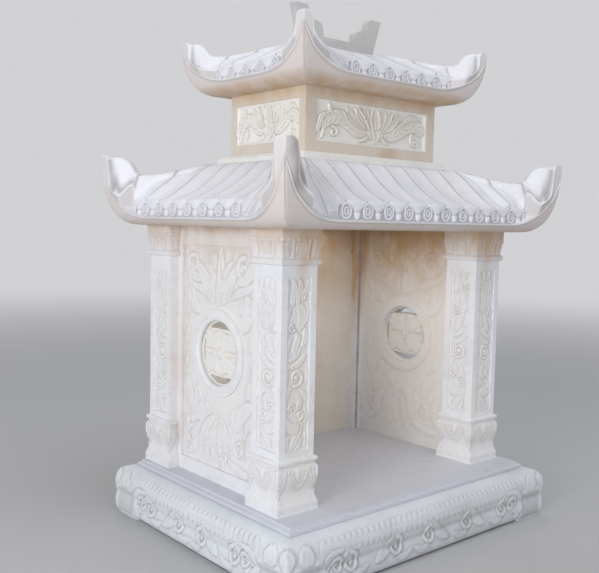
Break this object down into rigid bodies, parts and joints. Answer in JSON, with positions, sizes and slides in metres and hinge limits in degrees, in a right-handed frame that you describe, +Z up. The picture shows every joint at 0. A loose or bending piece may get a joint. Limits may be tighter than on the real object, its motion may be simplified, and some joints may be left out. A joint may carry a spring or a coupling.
{
  "type": "spirit house",
  "caption": "Pale carved stone spirit house, open at the front, with pierced round side windows and a small box between its swept roofs.",
  "frame": {"origin": "on the ground under the middle of the whole house", "axes": "+Z up, the open front faces -Y, the shrine's own left side is -X seen from the front"},
  "size_m": [1.116, 0.896, 1.551],
  "materials": {
    "white_marble": "rubbed",
    "cream_marble": "rubbed",
    "warm_marble": "rubbed",
    "eave_marble": "rubbed",
    "floor_marble": "rubbed"
  },
  "bodies": {
    "root": {"base_block": "white_marble", "base_leg_front_left": "white_marble", "base_leg_front_right": "white_marble", "base_leg_back_left": "white_marble", "base_leg_back_right": "white_marble", "floor_slab": "floor_marble", "pillar_foot_front_left": "cream_marble", "pillar_foot_front_right": "cream_marble", "pillar_foot_back_left": "cream_marble", "pillar_foot_back_right": "cream_marble", "pillar_front_left": "cream_marble", "pillar_front_right": "cream_marble", "pillar_back_left": "cream_marble", "pillar_back_right": "cream_marble", "capital_front_left": "cream_marble", "capital_front_right": "cream_marble", "capital_back_left": "cream_marble", "capital_back_right": "cream_marble", "wall_left": "cream_marble", "wall_right": "cream_marble", "wall_back": "warm_marble", "window_flower_left": "cream_marble", "window_flower_right": "cream_marble", "lower_eave": "eave_marble", "lower_roof": "white_marble", "lower_horn_front_left": "white_marble", "lower_horn_front_right": "white_marble", "lower_horn_back_left": "white_marble", "lower_horn_back_right": "white_marble", "drum_ledge": "white_marble", "drum_frame": "warm_marble", "drum_panel_front": "warm_marble", "drum_panel_back": "warm_marble", "drum_panel_left": "warm_marble", "drum_panel_right": "warm_marble", "upper_eave": "eave_marble", "upper_roof": "white_marble", "upper_horn_front_left": "white_marble", "upper_horn_front_right": "white_marble", "upper_horn_back_left": "white_marble", "upper_horn_back_right": "white_marble", "ridge": "white_marble", "ridge_fin_left": "white_marble", "ridge_fin_right": "white_marble"}
  },
  "joints": []
}
